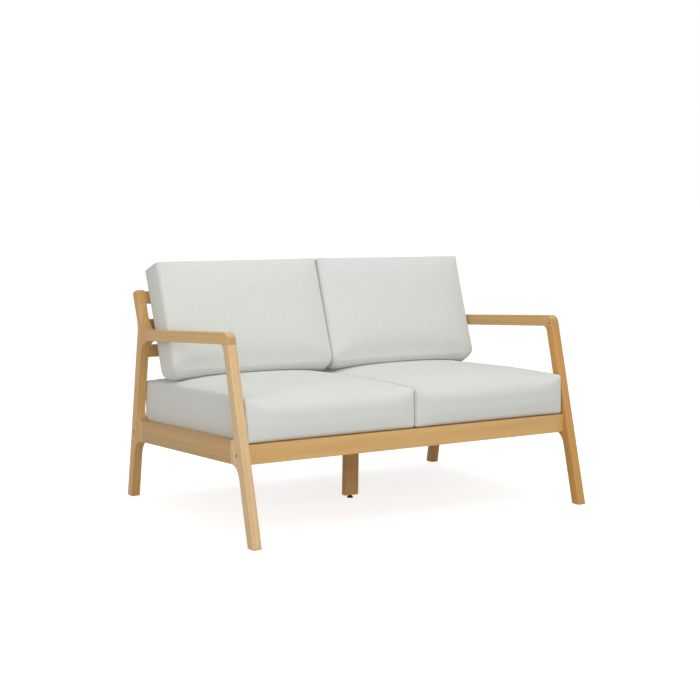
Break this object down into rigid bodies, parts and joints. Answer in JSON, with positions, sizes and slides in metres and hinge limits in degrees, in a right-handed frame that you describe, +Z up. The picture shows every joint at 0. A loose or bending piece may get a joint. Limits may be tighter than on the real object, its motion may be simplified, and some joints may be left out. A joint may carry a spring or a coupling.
{
  "type": "patio loveseat",
  "caption": "Low patio loveseat with a curved hardwood frame, sloping arms, slatted back and loose pale grey box cushions.",
  "frame": {"origin": "on the floor, midway between the two sides and midway from the front toes to the rear heels", "axes": "+X to the right of the picture's front view, across the seat; the front faces -Y; +Z up"},
  "size_m": [1.28, 0.8841, 0.8033],
  "materials": {
    "oiled_hardwood": "satin oil",
    "darker_hardwood": "satin oil",
    "beech_dowel": "raw",
    "zinc_steel": "zinc plated",
    "blackened_steel": "black zinc",
    "brass": "plain",
    "black_nylon": "matt",
    "woven_cover": "plain weave",
    "foam_core": "open-cell foam"
  },
  "bodies": {
    "frame": {"left_front_leg": "oiled_hardwood", "right_front_leg": "oiled_hardwood", "left_rear_leg": "oiled_hardwood", "right_rear_leg": "oiled_hardwood", "left_arm": "oiled_hardwood", "right_arm": "oiled_hardwood", "left_side_rail": "oiled_hardwood", "right_side_rail": "oiled_hardwood", "front_rail": "oiled_hardwood", "rear_rail": "oiled_hardwood", "middle_stretcher": "oiled_hardwood", "centre_leg": "oiled_hardwood", "top_back_slat": "oiled_hardwood", "middle_back_slat": "oiled_hardwood", "lower_back_slat": "oiled_hardwood", "front_cleat": "oiled_hardwood", "rear_cleat": "oiled_hardwood", "seat_slat_01": "oiled_hardwood", "seat_slat_02": "oiled_hardwood", "seat_slat_03": "oiled_hardwood", "seat_slat_04": "oiled_hardwood", "seat_slat_05": "oiled_hardwood", "seat_slat_06": "oiled_hardwood", "seat_slat_07": "oiled_hardwood", "seat_slat_08": "oiled_hardwood", "seat_slat_09": "oiled_hardwood", "seat_slat_10": "oiled_hardwood", "seat_slat_11": "oiled_hardwood", "bolt_plugs": "darker_hardwood", "arm_pegs": "darker_hardwood", "frame_dowels": "beech_dowel", "slat_screws": "zinc_steel", "cleat_screws": "zinc_steel", "bracket_screws": "zinc_steel", "rail_bolts": "zinc_steel", "barrel_nuts": "zinc_steel", "centre_leg_bolts": "zinc_steel", "centre_leg_nuts": "zinc_steel", "centre_leg_washers": "zinc_steel", "stretcher_brackets": "zinc_steel", "glide_insert": "brass"},
    "left_seat_cushion": {"left_seat_cushion_cover": "woven_cover", "left_seat_cushion_foam": "foam_core"},
    "left_back_cushion": {"left_back_cushion_cover": "woven_cover", "left_back_cushion_foam": "foam_core"},
    "right_seat_cushion": {"right_seat_cushion_cover": "woven_cover", "right_seat_cushion_foam": "foam_core"},
    "right_back_cushion": {"right_back_cushion_cover": "woven_cover", "right_back_cushion_foam": "foam_core"},
    "glide_foot": {"glide_pad": "black_nylon"},
    "glide_screw": {"glide_stud": "blackened_steel"}
  },
  "joints": [
    {"name": "left_seat_cushion_slide", "type": "slide", "parent": "frame", "child": "left_seat_cushion", "axis": [0, -0.9985, 0.0546], "range_m": [0, 0.25]},
    {"name": "left_back_cushion_lift", "type": "slide", "parent": "frame", "child": "left_back_cushion", "axis": [0, 0.3584, 0.9336], "range_m": [0, 0.25]},
    {"name": "right_seat_cushion_slide", "type": "slide", "parent": "frame", "child": "right_seat_cushion", "axis": [0, -0.9985, 0.0546], "range_m": [0, 0.25]},
    {"name": "right_back_cushion_lift", "type": "slide", "parent": "frame", "child": "right_back_cushion", "axis": [0, 0.3584, 0.9336], "range_m": [0, 0.25]},
    {"name": "glide_height", "type": "slide", "parent": "frame", "child": "glide_foot", "axis": [0, 0, 1], "range_m": [0, 0.003]},
    {"name": "glide_turn", "type": "hinge", "parent": "glide_foot", "child": "glide_screw", "pos_m": [0, 0.034, 0.02], "axis": [0, 0, 1], "range_deg": [0, 864.1]}
  ],
  "couplings": [
    {"joint": "glide_turn", "follows": "glide_height", "rad_per_m": 5026.5}
  ]
}
